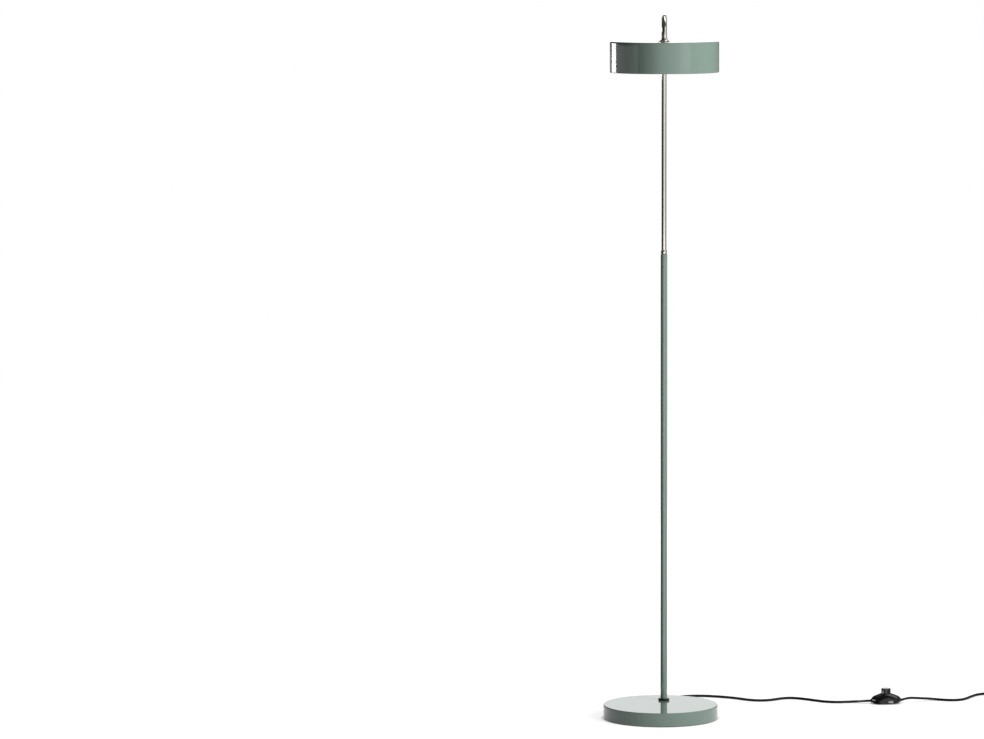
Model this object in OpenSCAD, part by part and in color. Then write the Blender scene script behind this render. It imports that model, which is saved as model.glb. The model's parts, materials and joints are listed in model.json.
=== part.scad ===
// Adjustable arm floor lamp: a weighted round base, a telescoping stem, a crook arm
// that carries a drum shade, and a foot switch on the cord.
// Millimetres, +Z up. The origin is the centre of the base on the floor, and the arm
// reaches from the stem towards -Y.

/* [Base] */
// Diameter of the round base
base_d = 235; // [210:1:300]
// Height of the base over the floor
base_h = 28.5; // [27:0.5:45]
// Thickness of the painted steel cover
cover_t = 1.5; // [1:0.1:2]
// Radius of the cover's top edge
edge_r = 1.5; // [0.8:0.1:3]
// Height of the cover's rim over the floor
cover_lift = 1; // [0.5:0.1:1.5]
// Thickness of the foam pad under the weight
pad_t = 2; // [1.6:0.1:2.4]
// How far the pad stays back from the weight's edge
pad_inset = 1; // [0.5:0.5:20]
// Iron left above the nut's pocket
web_t = 5; // [3:0.5:6]
// Diameter of the nut's pocket
pocket_d = 32; // [28:1:40]
// Height of the cord's way through the base
lead_z = 8; // [7.8:0.1:9]

/* [Stem] */
// Stem's place to the right of the base's centre
stem_side = 7; // [-20:1:20]
// Stem's place behind the base's centre
stem_back = 49; // [30:1:70]
// Outside diameter of the painted stem
stem_d = 13.5; // [13.3:0.1:14.5]
// Wall of the stem
stem_wall = 0.8; // [0.5:0.1:0.9]
// Height of the stem's top end
stem_top = 952; // [900:1:1000]
// Diameter of the rounded collar at the foot
collar_d = 23.5; // [19:0.5:40]
// Height of the rounded collar at the foot
collar_h = 4.5; // [3:0.5:10]
// Threaded length inside the stem's foot
insert_len = 16; // [10:1:30]

/* [Arm] */
// Outside diameter of the polished arm
rod_d = 10.2; // [10:0.1:10.4]
// Wall of the arm
rod_wall = 1; // [0.8:0.1:1.05]
// Distance from the stem to the shade's centre
reach = 132; // [125:1:150]
// Centre-line radius of the arm's two bends
bend_r = 34; // [20:1:38]
// Height of the arm's highest point
arm_top = 1443; // [1300:1:1600]
// Length of the arm's straight leg between its front bend and the shade
drop_leg = 13.4; // [11:0.2:60]
// How far the arm can be raised
lift_up = 50; // [10:5:80]
// Length of the slider inside the stem
slider_len = 40; // [20:1:60]
// Depth of the ferrule's spigot in the stem
spigot_len = 12; // [8:1:20]
// Height of the ferrule's polished bead
bead_h = 8.2; // [4:0.2:10]
// Diameter of the ferrule's polished bead
bead_d = 12.8; // [12:0.1:14.5]

/* [Shade] */
// Diameter of the drum shade
shade_d = 220; // [190:1:225]
// Height of the drum shade
shade_h = 62.5; // [56:0.5:90]
// Wall of the drum shade
shade_t = 1; // [0.8:0.1:1.6]
// Radius of the shade's top edge
shade_edge_r = 1.8; // [1.6:0.1:4]
// Radius of the bead along the shade's rim
rim_r = 1.3; // [0.8:0.1:2]
// Diameter of the flared collar on the shade
flare_d = 23.5; // [18:0.5:40]
// Height of the flared collar on the shade
flare_h = 7; // [4:0.5:10]

/* [Lamp] */
// Diameter of the disc lamp
lamp_d = 74.6; // [70:0.2:76]
// Height of the disc lamp's housing
lamp_h = 13; // [11:0.5:16]
// Height of the disc lamp's opal front
opal_h = 10; // [6:0.5:12]
// Height of the lamp holder
holder_h = 12; // [11:0.5:16]
// Distance between the disc lamp's two pins
pin_gap = 53; // [50:0.5:56]
// Drop from the shade's top plate to the lamp holder
bracket_drop = 14; // [12:0.5:18]
// Thickness of the lamp bracket's strip
bracket_t = 1.5; // [1:0.1:2]
// Width of the lamp bracket's strip
bracket_w = 18; // [14:1:30]

/* [Foot switch] */
// Length of the foot switch
sw_l = 65; // [62:1:80]
// Width of the foot switch
sw_w = 41; // [40:1:50]
// Height of the foot switch without its button
sw_h = 23; // [22:0.5:30]
// Wall of the switch's two shells
sw_wall = 1.8; // [1.4:0.1:2.2]
// Diameter of the switch's button
button_d = 19.5; // [18:0.5:20.5]
// Height of the button's top over the floor
button_top = 32; // [31:0.5:38]
// Travel of the button
button_travel = 3; // [2:0.5:4]

/* [Cord and plug] */
// Diameter of the cord
cord_d = 5; // [4.6:0.1:5.2]
// Length of the gland's tapered boot
boot_len = 24; // [20:1:40]
// Length of the plug's body
plug_l = 36; // [30:1:45]
// Width of the plug's body
plug_w = 26; // [24:1:34]
// Height of the plug's body
plug_h = 14; // [12:0.5:18]
// Distance between the plug's pins
plug_gap = 18.6; // [17:0.2:19.2]

/* [Hidden] */

$fn = 64;
eps = 0.5;
// Clearances: pieces that only sit in each other, that slide, and that turn
seat_gap = 0.1;
slide_gap = 0.04;
turn_gap = 0.05;
part_gap = 0.3;

// Threaded nipples at both ends of the tube work
nipple_d = 8;
nipple_bore = 5.8;
nut_af = 13;
nut_t = 4;
washer_t = 1;
washer_d = 16;
lead_bend = 9;

// Base
cover_r = base_d / 2;
weight_r = cover_r - cover_t - 0.4;
cover_under = base_h - cover_t;
pocket_top = cover_under - web_t;
foot_nut_z = pocket_top - washer_t - nut_t;
foot_nipple_z = foot_nut_z - eps;
lead_way_d = cord_d + 1.4;
gland_hole_d = 9;
gland_neck_d = gland_hole_d - 0.4;
gland_flange_d = 11.2;
gland_flange_t = 2;
gland_flange_y = sqrt(pow(cover_r - cover_t, 2)
    - pow(abs(stem_side) + gland_flange_d / 2, 2)) - 0.2;
boot_y = cover_r + part_gap;
boot_end_y = boot_y + boot_len;

// Stem and slider
stem_id = stem_d - 2 * stem_wall;
lead_top_z = base_h + insert_len + 3;
slider_top = stem_top - spigot_len - lift_up - part_gap;
slider_z = slider_top - slider_len;
screw_flange_t = 2;
screw_flange_z = slider_z - seat_gap - screw_flange_t;
rod_z = slider_top + seat_gap;
rod_id = rod_d - 2 * rod_wall;
screw_len = 14;
stem_lead_d = 9.4;
stem_lead_z = lead_top_z + part_gap;
stem_lead_top = screw_flange_z - part_gap;

// Arm and shade
axis_z = arm_top - rod_d / 2;
shade_top = axis_z - bend_r - drop_leg;
shade_y = stem_back - reach;
shade_z = shade_top - shade_h;
plate_under = shade_top - shade_t;
web_z = plate_under - bracket_t;
shade_washer_z = web_z - washer_t;
shade_nut_z = shade_washer_z - nut_t;
shade_nipple_z = shade_nut_z - 0.8;
shade_nipple_top = shade_top + min(12, drop_leg - 1);
holder_top = plate_under - bracket_drop;
holder_z = holder_top - holder_h;
lamp_z = holder_z - lamp_h;
holder_d = 75;
holder_screw_x = 27;
holder_screw_d = 4;
screw_head_d = 7.5;
screw_head_h = 2.5;
lamp_pin_d = 3.6;
lamp_pin_h = 7;
contact_h = 6;
contact_d = 6;

// The loose cord starts at the end of the gland's boot: the cord's points, the foot
// switch and the coil are all set out from there
lay = [stem_side, boot_end_y, 0];

// Foot switch: where it lies, and its parting line
sw_at = lay + [465, 46, 0];
sw_turn = 10;
part_z = 8;
sw_cord_z = 6.5;
sw_r = sw_w / 2;
sw_spread = sw_l / 2 - sw_r;
dome_step = 0.2;
button_bore = button_d + 0.6;
button_lip_t = 2.5;
button_lip_z = sw_h - sw_wall - 0.4 - button_lip_t;
button_roof_z = button_top - 3;
core_l = 22;
core_w = 16;
core_top = 9;
core_stop_z = button_roof_z - button_travel - part_gap;
terminal_w = 7;
sw_screw_at = [14, 11];
sw_screw_d = 3;
sw_boss_d = 7;
cord_end_x = 17;

// Cord: each point's way right, its way back, and the height of the cord's underside,
// chosen by hand
lead_h = lead_z - cord_d / 2;
lamp_lay = [
    [0, 0, lead_h], [0, 4, lead_h], [0, 14, 5], [0.5, 30, 3], [2, 47, 0.9],
    [5, 64, 0], [11, 80, 0], [20, 95, 0], [32, 108, 0], [46, 117, 0], [62, 122, 0],
    [78, 123, 0], [94, 121, 0], [110, 116, 0], [125, 110, 0], [140, 102, 0],
    [154, 93, 0], [167, 82, 0], [180, 72, 0], [195, 66, 0], [211, 66, 0],
    [226, 73, 0], [239, 84, 0], [252, 94, 0], [267, 98, 0], [282, 94, 0],
    [296, 85, 0], [309, 75, 0], [322, 64, 0], [335, 54, 0], [350, 48, 0],
    [366, 46, 0], [382, 49, 0], [397, 50.5, 0.4], [411, 47.5, 1.5], [423, 42.5, 3]];
plug_lay = [
    [504, 55, 5.3], [515, 62, 6.2], [527, 67, 5.4], [540, 72.5, 4],
    [553, 79, 2.4], [567, 83, 0.8], [581, 80.5, 0], [595, 75.5, 0], [609, 74.5, 0],
    [621, 79, 0], [630, 88, 0], [638, 101, 0], [645, 116, 0], [653.5, 133, 0],
    [665, 149, 0.1], [683, 159, 0.3], [704, 162, 0.6]];

// Coil of the rest of the cord, and its end at the plug
tie_t = 0.6;
coil_at = lay + [724, 125, tie_t];
coil_out = 37;
coil_in = 21.4;
coil_r0 = coil_in - cord_d / 2;
coil_r1 = coil_out + cord_d / 2;
coil_h = 2 * cord_d;
tie_w = 9;
tail_x = coil_at.x + coil_out;
tail_z = coil_at.z + 1.5 * cord_d;
tail_y = coil_at.y - sqrt(pow(coil_r1 + 0.6, 2) - pow(coil_out - cord_d / 2, 2));
tail_reach = 39;
relief_y = coil_at.y - tail_reach;
relief_len = 22;
plug_z = plug_h / 2;
plug_y = relief_y - relief_len;
pin_d = 4;
pin_len = 19;

// ---- shared shapes ----

module ring(outer, inner, h) {
    difference() {
        cylinder(d = outer, h = h);
        translate([0, 0, -eps])
            cylinder(d = inner, h = h + 2 * eps);
    }
}

module hex_nut(af, bore, h) {
    difference() {
        cylinder(d = af / cos(30), h = h, $fn = 6);
        translate([0, 0, -eps])
            cylinder(d = bore, h = h + 2 * eps);
    }
}

// Flared collar: a thin lip at the foot that sweeps up to the tube
module flare(foot_d, neck_d, bore, h) {
    lip = 0.9;
    span = (foot_d - neck_d) / 2;
    curve = [for (a = [0 : 9 : 90])
        [foot_d / 2 - span * sin(a), lip + (h - lip) * (1 - cos(a))]];
    rotate_extrude()
        polygon(concat([[bore / 2, 0], [foot_d / 2, 0]], curve, [[bore / 2, h]]));
}

// Rounded collar: a flat foot and a full round edge
module round_ring(outer_d, bore, h) {
    reach_r = min(h / 2, (outer_d - bore) / 2 - 0.6);
    edge = [for (a = [-90 : 15 : 90])
        [outer_d / 2 - reach_r * (1 - cos(a)), h / 2 * (1 + sin(a))]];
    rotate_extrude()
        polygon(concat([[bore / 2, 0]], edge, [[bore / 2, h]]));
}

// Section of the arm: a disc, or a ring where it has a bore
module arm_section(outer, inner) {
    difference() {
        circle(d = outer);
        if (inner > 0) circle(d = inner);
    }
}

// The arm's path, from the foot of its rear leg over the crook to the shade
module arm_path(outer, inner, z_rear, z_front) {
    bend_z = axis_z - bend_r;
    translate([stem_side, stem_back, z_rear])
        linear_extrude(bend_z - z_rear) arm_section(outer, inner);
    translate([stem_side, stem_back - bend_r, bend_z])
        rotate([90, 0, 90])
            rotate_extrude(angle = 90) translate([bend_r, 0]) arm_section(outer, inner);
    translate([stem_side, stem_back - bend_r, axis_z])
        rotate([90, 0, 0])
            linear_extrude(reach - 2 * bend_r) arm_section(outer, inner);
    translate([stem_side, shade_y + bend_r, bend_z])
        rotate([90, 0, 90]) rotate([0, 0, 90])
            rotate_extrude(angle = 90) translate([bend_r, 0]) arm_section(outer, inner);
    translate([stem_side, shade_y, z_front])
        linear_extrude(bend_z - z_front) arm_section(outer, inner);
}

module at_stem(z) {
    translate([stem_side, stem_back, z]) children();
}

module at_shade(z) {
    translate([stem_side, shade_y, z]) children();
}

// ---- base ----

module cover_section() {
    difference() {
        union() {
            translate([0, cover_lift]) square([cover_r - edge_r, base_h - cover_lift]);
            translate([0, cover_lift]) square([cover_r, base_h - cover_lift - edge_r]);
            translate([cover_r - edge_r, base_h - edge_r]) circle(edge_r);
        }
        translate([-eps, 0]) square([cover_r - cover_t + eps, cover_under]);
    }
}

module base_cover() {
    color([0.50, 0.57, 0.53])
        difference() {
            rotate_extrude($fn = 128) intersection() {
                cover_section();
                square([cover_r + 1, base_h + 1]);
            }
            at_stem(cover_under - 1) cylinder(d = nipple_d + 0.6, h = cover_t + 2);
            translate([stem_side, cover_r - 12, lead_z])
                rotate([-90, 0, 0]) cylinder(d = gland_hole_d, h = 20);
        }
}

module base_weight() {
    color([0.30, 0.30, 0.31])
        difference() {
            translate([0, 0, pad_t])
                cylinder(r = weight_r, h = cover_under - pad_t, $fn = 128);
            at_stem(0) cylinder(d = nipple_d + 0.6, h = base_h);
            at_stem(0) cylinder(d = pocket_d, h = pocket_top);
            translate([stem_side, stem_back, lead_z])
                rotate([-90, 0, 0]) cylinder(d = lead_way_d, h = cover_r);
            translate([stem_side, gland_flange_y - gland_flange_t - 0.3, lead_z])
                rotate([-90, 0, 0]) cylinder(d = gland_flange_d + 0.6, h = cover_r);
        }
}

module base_pad() {
    color([0.12, 0.12, 0.12])
        difference() {
            cylinder(r = weight_r - pad_inset, h = pad_t, $fn = 128);
            at_stem(-eps) cylinder(d = pocket_d, h = pad_t + 2 * eps);
        }
}

module cord_gland() {
    bore = cord_d + 2 * seat_gap;
    color([0.08, 0.08, 0.08])
        translate([stem_side, 0, lead_z]) rotate([-90, 0, 0])
            difference() {
                union() {
                    translate([0, 0, gland_flange_y - gland_flange_t])
                        cylinder(d = gland_flange_d, h = gland_flange_t);
                    translate([0, 0, gland_flange_y - eps])
                        cylinder(d = gland_neck_d, h = boot_y - gland_flange_y + 2 * eps);
                    translate([0, 0, boot_y])
                        cylinder(d = gland_flange_d - 0.8, h = 3);
                    translate([0, 0, boot_y + 3])
                        cylinder(d1 = gland_neck_d, d2 = cord_d + 2, h = boot_len - 3);
                }
                translate([0, 0, gland_flange_y - 10])
                    cylinder(d = bore, h = boot_len + 20);
            }
}

module base_lead() {
    rise = lead_z + lead_bend;
    color([0.10, 0.10, 0.10]) {
        translate([stem_side, stem_back + lead_bend, lead_z])
            rotate([-90, 0, 0])
                cylinder(d = cord_d, h = boot_end_y - stem_back - lead_bend);
        translate([stem_side, stem_back + lead_bend, rise])
            rotate([90, 0, 90]) rotate([0, 0, 180])
                rotate_extrude(angle = 90) translate([lead_bend, 0]) circle(d = cord_d);
        at_stem(rise) cylinder(d = cord_d, h = lead_top_z - rise);
    }
}

// ---- stem ----

module foot_collar() {
    color([0.35, 0.37, 0.36])
        at_stem(base_h)
            round_ring(collar_d, stem_d + 2 * seat_gap, collar_h);
}

module stem_tube() {
    color([0.50, 0.57, 0.53])
        at_stem(base_h) ring(stem_d, stem_id, stem_top - base_h);
}

module stem_insert() {
    color([0.62, 0.62, 0.62])
        at_stem(base_h) ring(stem_id - 0.04, nipple_d + 2 * seat_gap, insert_len);
}

module stem_nipple() {
    color([0.70, 0.62, 0.36])
        at_stem(foot_nipple_z)
            ring(nipple_d, nipple_bore, base_h + insert_len - 1 - foot_nipple_z);
}

module lock_washer() {
    color([0.66, 0.67, 0.68])
        at_stem(pocket_top - washer_t) ring(washer_d, nipple_d + 0.4, washer_t);
}

module stem_nut() {
    color([0.70, 0.62, 0.36])
        at_stem(foot_nut_z) hex_nut(nut_af, nipple_d + 2 * seat_gap, nut_t);
}

module stem_ferrule() {
    bore = rod_d + 2 * turn_gap;
    spigot = stem_id - 2 * turn_gap;
    side = [for (a = [-80 : 10 : 80])
        [bead_d / 2 - 1 + cos(a), bead_h / 2 * (1 + sin(a) / sin(80))]];
    color([0.78, 0.75, 0.70])
        difference() {
            union() {
                at_stem(stem_top - spigot_len) cylinder(d = spigot, h = spigot_len + eps);
                at_stem(stem_top) rotate_extrude()
                    polygon(concat([[0, 0]], side, [[0, bead_h]]));
            }
            at_stem(stem_top - spigot_len - eps)
                cylinder(d = bore, h = spigot_len + bead_h + 2 * eps);
        }
}

// The coiled lead in the stem stands as one plain tube of its outer diameter
module stem_lead() {
    color([0.10, 0.10, 0.10])
        at_stem(stem_lead_z) cylinder(d = stem_lead_d, h = stem_lead_top - stem_lead_z);
}

module height_slider() {
    slit = 1.2;
    color([0.90, 0.89, 0.85])
        at_stem(slider_z) difference() {
            ring(stem_id - 2 * slide_gap, nipple_d + 2 * turn_gap, slider_len);
            translate([0, -slit / 2, -eps]) cube([stem_d, slit, slider_len + 2 * eps]);
        }
}

// ---- arm ----

module arm_tube() {
    color([0.80, 0.78, 0.73]) arm_path(rod_d, rod_id, rod_z, shade_top);
}

module swivel_screw() {
    color([0.70, 0.62, 0.36]) {
        at_stem(screw_flange_z) ring(stem_id - 0.8, nipple_bore, screw_flange_t);
        at_stem(screw_flange_z + screw_flange_t)
            ring(nipple_d, nipple_bore, slider_len + 2 * seat_gap + screw_len);
    }
}

module arm_lead() {
    color([0.10, 0.10, 0.10])
        arm_path(cord_d, 0, screw_flange_z, holder_top - 2);
}

// ---- shade ----

module shade_collar() {
    color([0.80, 0.78, 0.73])
        at_shade(shade_top) flare(flare_d, rod_d + 1, rod_d + 2 * seat_gap, flare_h);
}

module shade_nipple() {
    color([0.70, 0.62, 0.36])
        at_shade(shade_nipple_z)
            ring(nipple_d, nipple_bore, shade_nipple_top - shade_nipple_z);
}

module shade_washer() {
    color([0.66, 0.67, 0.68])
        at_shade(shade_washer_z) ring(washer_d, nipple_d + 0.4, washer_t);
}

module shade_nut() {
    color([0.70, 0.62, 0.36])
        at_shade(shade_nut_z) hex_nut(nut_af, nipple_d + 2 * seat_gap, nut_t);
}

module shade_section() {
    r = shade_d / 2;
    union() {
        difference() {
            union() {
                square([r - shade_edge_r, shade_h]);
                square([r, shade_h - shade_edge_r]);
                translate([r - shade_edge_r, shade_h - shade_edge_r]) circle(shade_edge_r);
            }
            translate([-eps, -eps]) square([r - shade_t + eps, shade_h - shade_t + eps]);
        }
        translate([r - rim_r, rim_r]) circle(rim_r);
    }
}

module shade_drum() {
    color([0.50, 0.57, 0.53])
        at_shade(shade_z) difference() {
            rotate_extrude($fn = 128) intersection() {
                shade_section();
                square([shade_d, shade_h + 1]);
            }
            translate([0, 0, shade_h - 5]) cylinder(d = nipple_d + 0.4, h = 10);
        }
}

// ---- lamp ----

module lamp_bracket() {
    leg_x = 16;
    foot_x = 34;
    color([0.72, 0.73, 0.74])
        at_shade(0) difference() {
            union() {
                translate([-leg_x, -bracket_w / 2, web_z])
                    cube([2 * leg_x, bracket_w, bracket_t]);
                for (s = [0, 180]) rotate([0, 0, s]) {
                    translate([leg_x - bracket_t, -bracket_w / 2, holder_top])
                        cube([bracket_t, bracket_w, plate_under - holder_top]);
                    translate([leg_x - bracket_t, -bracket_w / 2, holder_top])
                        cube([foot_x - leg_x + bracket_t, bracket_w, bracket_t]);
                }
            }
            translate([0, 0, web_z - 1]) cylinder(d = nipple_d + 0.4, h = bracket_t + 2);
            for (s = [-1, 1]) translate([s * holder_screw_x, 0, holder_top - 1])
                cylinder(d = holder_screw_d + 0.2, h = bracket_t + 2);
        }
}

module lamp_holder() {
    color([0.93, 0.93, 0.90])
        at_shade(holder_z) difference() {
            cylinder(d = holder_d, h = holder_h);
            translate([0, 0, holder_h - 4]) cylinder(d = cord_d + 0.6, h = 5);
            for (s = [-1, 1]) {
                translate([0, s * pin_gap / 2, -1]) cylinder(d = contact_d + 0.2, h = 9);
                translate([s * holder_screw_x, 0, -1])
                    cylinder(d = holder_screw_d + 0.4, h = holder_h + 2);
                translate([s * holder_screw_x, 0, -1])
                    cylinder(d = screw_head_d + 0.6, h = screw_head_h + 1.5);
            }
        }
}

module holder_contacts() {
    color([0.80, 0.66, 0.36])
        for (s = [-1, 1]) at_shade(holder_z + 1.5) translate([0, s * pin_gap / 2, 0])
            ring(contact_d, lamp_pin_d + 0.3, contact_h);
}

module holder_screws() {
    color([0.72, 0.73, 0.74])
        for (s = [-1, 1]) at_shade(holder_z + 0.5) translate([s * holder_screw_x, 0, 0]) {
            difference() {
                cylinder(d = screw_head_d, h = screw_head_h);
                translate([-screw_head_d, -0.5, -eps])
                    cube([2 * screw_head_d, 1, 0.9 + eps]);
            }
            cylinder(d = holder_screw_d, h = holder_h + bracket_t + 2);
        }
}

module lamp_body() {
    color([0.92, 0.92, 0.91])
        at_shade(lamp_z) {
            cylinder(d = lamp_d, h = lamp_h);
            for (s = [-1, 1]) translate([0, s * pin_gap / 2, lamp_h - eps])
                cylinder(d = lamp_pin_d, h = lamp_pin_h + eps);
        }
}

module lamp_opal() {
    r = lamp_d / 2 - 1.6;
    edge = 4;
    color([0.97, 0.96, 0.92])
        at_shade(lamp_z - opal_h) rotate_extrude()
            intersection() {
                union() {
                    translate([0, edge]) square([r, opal_h - edge]);
                    square([r - edge, opal_h]);
                    translate([r - edge, edge]) circle(edge);
                }
                square([r + 1, opal_h]);
            }
}

// ---- foot switch ----

// One dome of the switch's rounded body, from its underside over its widest line
module dome(r, z_low, z_high) {
    flat = 10;
    tuck = 9;
    under = [for (a = [90 : -18 : 0])
        [r - tuck + tuck * cos(a), part_z - (part_z - z_low) * sin(a)]];
    over = [for (a = [15 : 15 : 90])
        [flat + (r - flat) * cos(a), part_z + (z_high - part_z) * sin(a)]];
    rotate_extrude($fn = 36)
        polygon(concat([[0, z_low]], under, over, [[0, z_high]]));
}

// The middle dome keeps inside the outer two below, so only theirs set the sides
module pebble(inset) {
    hull() {
        dome(sw_r - inset - dome_step, inset + dome_step, sw_h - inset);
        for (s = [-1, 1]) translate([s * sw_spread, 0, 0])
            dome(sw_r - inset, inset, 0.8 * sw_h - inset);
    }
}

module at_switch() {
    translate(sw_at) rotate([0, 0, sw_turn]) children();
}

module switch_cord_holes() {
    translate([-sw_l, 0, sw_cord_z]) rotate([0, 90, 0])
        cylinder(d = cord_d + 0.4, h = 2 * sw_l);
}

module at_switch_screws() {
    for (s = [-1, 1]) translate([s * sw_screw_at.x, s * sw_screw_at.y, 0]) children();
}

module switch_base() {
    color([0.09, 0.09, 0.09])
        at_switch() difference() {
            union() {
                intersection() {
                    difference() {
                        pebble(0);
                        pebble(sw_wall);
                    }
                    translate([-sw_l, -sw_w, 0]) cube([2 * sw_l, 2 * sw_w, part_z]);
                }
                at_switch_screws() cylinder(d = sw_boss_d, h = part_z);
            }
            switch_cord_holes();
            at_switch_screws() translate([0, 0, -1])
                cylinder(d = sw_screw_d + 0.4, h = part_z + 2);
            at_switch_screws() translate([0, 0, -1]) cylinder(d = 6.2, h = 3.4);
        }
}

module switch_cover() {
    color([0.09, 0.09, 0.09])
        at_switch() difference() {
            union() {
                intersection() {
                    difference() {
                        pebble(0);
                        pebble(sw_wall);
                    }
                    translate([-sw_l, -sw_w, part_z]) cube([2 * sw_l, 2 * sw_w, sw_h]);
                }
                intersection() {
                    at_switch_screws() translate([0, 0, part_z])
                        cylinder(d = sw_boss_d, h = sw_h);
                    pebble(sw_wall / 2);
                }
            }
            switch_cord_holes();
            translate([0, 0, part_z]) cylinder(d = button_bore, h = sw_h);
            at_switch_screws() translate([0, 0, part_z - 1])
                cylinder(d = sw_screw_d + 0.1, h = 5.6);
        }
}

module switch_button() {
    lip_d = button_bore + 2.6;
    crown = 1.2;
    color([0.07, 0.07, 0.07])
        at_switch() difference() {
            union() {
                translate([0, 0, button_lip_z]) cylinder(d = lip_d, h = button_lip_t);
                translate([0, 0, button_lip_z])
                    cylinder(d = button_d, h = button_top - crown - button_lip_z);
                translate([0, 0, button_top - crown])
                    cylinder(d1 = button_d, d2 = button_d - 2 * crown, h = crown);
            }
            translate([0, 0, button_lip_z - eps])
                cylinder(d = 15, h = button_roof_z - button_lip_z + eps);
        }
}

module switch_spring() {
    color([0.70, 0.71, 0.72])
        at_switch() translate([0, 0, core_top])
            ring(12, 10.4, button_roof_z - part_gap - core_top);
}

module switch_core() {
    color([0.85, 0.84, 0.78])
        at_switch() {
            translate([-core_l / 2, -core_w / 2, sw_wall])
                cube([core_l, core_w, core_top - sw_wall]);
            translate([0, 0, core_top - eps])
                cylinder(d = 6, h = core_stop_z - core_top + eps);
        }
}

module switch_terminals() {
    color([0.80, 0.66, 0.36])
        at_switch() for (s = [0, 180]) rotate([0, 0, s])
            translate([core_l / 2, -terminal_w / 2, sw_wall])
                cube([cord_end_x - core_l / 2, terminal_w, part_z - sw_wall]);
}

module switch_screws() {
    color([0.66, 0.67, 0.68])
        at_switch() at_switch_screws() {
            translate([0, 0, 0.5]) cylinder(d = 5.6, h = 1.9);
            translate([0, 0, 2.2]) cylinder(d = sw_screw_d, h = part_z + 1.8);
        }
}

// ---- cord and plug ----

// The cord's own points, from how it was laid out
function laid(points) = [for (p = points) lay + p + [0, 0, cord_d / 2]];

// A round cord along a route: one ring of points at each of the route's points
module cord_tube(route, sides = 10) {
    last = len(route) - 1;
    rings = [for (i = [0 : last])
        let (
            ahead = route[min(i + 1, last)] - route[max(i - 1, 0)],
            along = ahead / norm(ahead),
            flat = cross(along, [0, 0, 1]),
            side = flat / norm(flat),
            up = cross(side, along))
        for (k = [0 : sides - 1])
            route[i] + cord_d / 2 * (cos((k + 0.5) * 360 / sides) * side
                + sin((k + 0.5) * 360 / sides) * up)];
    skin = [for (i = [0 : last - 1], k = [0 : sides - 1])
        let (a = i * sides + k, b = i * sides + (k + 1) % sides)
        each [[a, b, b + sides], [a, b + sides, a + sides]]];
    ends = [[for (k = [sides - 1 : -1 : 0]) k],
        [for (k = [0 : sides - 1]) last * sides + k]];
    polyhedron(points = rings, faces = concat(skin, ends), convexity = 8);
}

function in_switch(x) = sw_at + [x * cos(sw_turn), x * sin(sw_turn), sw_cord_z];

module cord_lamp_side() {
    color([0.06, 0.06, 0.06])
        cord_tube(concat(laid(lamp_lay), [in_switch(-sw_l / 2), in_switch(-cord_end_x)]));
}

module cord_plug_side() {
    color([0.06, 0.06, 0.06])
        cord_tube(concat([in_switch(cord_end_x), in_switch(sw_l / 2)], laid(plug_lay)));
}

module cord_coil() {
    soft = 1.6;
    color([0.06, 0.06, 0.06])
        translate(coil_at) rotate_extrude($fn = 96) polygon([
            [coil_r0 + soft, 0], [coil_r1 - soft, 0], [coil_r1, soft],
            [coil_r1, coil_h - soft], [coil_r1 - soft, coil_h], [coil_r0 + soft, coil_h],
            [coil_r0, coil_h - soft], [coil_r0, soft]]);
}

module cord_tail() {
    color([0.06, 0.06, 0.06])
        cord_tube([[tail_x, tail_y, tail_z], [tail_x, tail_y - 4, tail_z],
            [tail_x, (tail_y + relief_y) / 2, (tail_z + plug_z) / 2],
            [tail_x, relief_y + 4, plug_z], [tail_x, relief_y, plug_z]]);
}

module cord_tie() {
    gap = 0.2;
    depth = coil_r1 - coil_r0 + 2 * gap;
    color([0.10, 0.10, 0.10])
        translate([coil_at.x, coil_at.y - (coil_r0 + coil_r1) / 2, 0]) difference() {
            translate([-tie_w / 2, -depth / 2 - tie_t, 0])
                cube([tie_w, depth + 2 * tie_t + 1.4, coil_h + 2 * tie_t + gap]);
            translate([-tie_w, -depth / 2, tie_t])
                cube([2 * tie_w, depth + 1.4, coil_h + gap]);
        }
}

module at_plug(y) {
    translate([tail_x, y, plug_z]) rotate([90, 0, 0]) children();
}

module plug_relief() {
    color([0.07, 0.07, 0.07])
        at_plug(relief_y) cylinder(d1 = cord_d + 1.6, d2 = 10, h = relief_len);
}

module plug_body() {
    color([0.07, 0.07, 0.07])
        at_plug(plug_y) hull() {
            for (s = [-1, 1], t = [-1, 1]) {
                translate([s * (plug_w / 2 - 4), t * (plug_h / 2 - 3), plug_l - 1.5])
                    cylinder(r = 3, h = 1.5, $fn = 24);
                translate([s * (plug_w / 2 - 3), t * (plug_h / 2 - 3), 0.6 * plug_l])
                    cylinder(r = 3, h = 1.5, $fn = 24);
                translate([s * 4, t * 2.5, 0]) cylinder(r = 3, h = 1, $fn = 24);
            }
        }
}

module plug_pins() {
    color([0.82, 0.82, 0.80])
        at_plug(plug_y - plug_l) for (s = [-1, 1]) translate([s * plug_gap / 2, 0, 0]) {
            cylinder(d = pin_d, h = pin_len - 1);
            translate([0, 0, pin_len - 1]) cylinder(d1 = pin_d, d2 = pin_d - 1.6, h = 1);
        }
}

base_cover();
base_weight();
base_pad();
foot_collar();
stem_tube();
stem_insert();
stem_nipple();
stem_nut();
lock_washer();
stem_ferrule();
base_lead();
stem_lead();
cord_gland();
height_slider();
arm_tube();
swivel_screw();
arm_lead();
shade_collar();
shade_nipple();
shade_washer();
shade_nut();
shade_drum();
lamp_bracket();
lamp_holder();
holder_contacts();
holder_screws();
lamp_body();
lamp_opal();
switch_base();
switch_cover();
switch_button();
switch_spring();
switch_core();
switch_terminals();
switch_screws();
cord_lamp_side();
cord_plug_side();
cord_coil();
cord_tail();
cord_tie();
plug_relief();
plug_body();
plug_pins();
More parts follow.
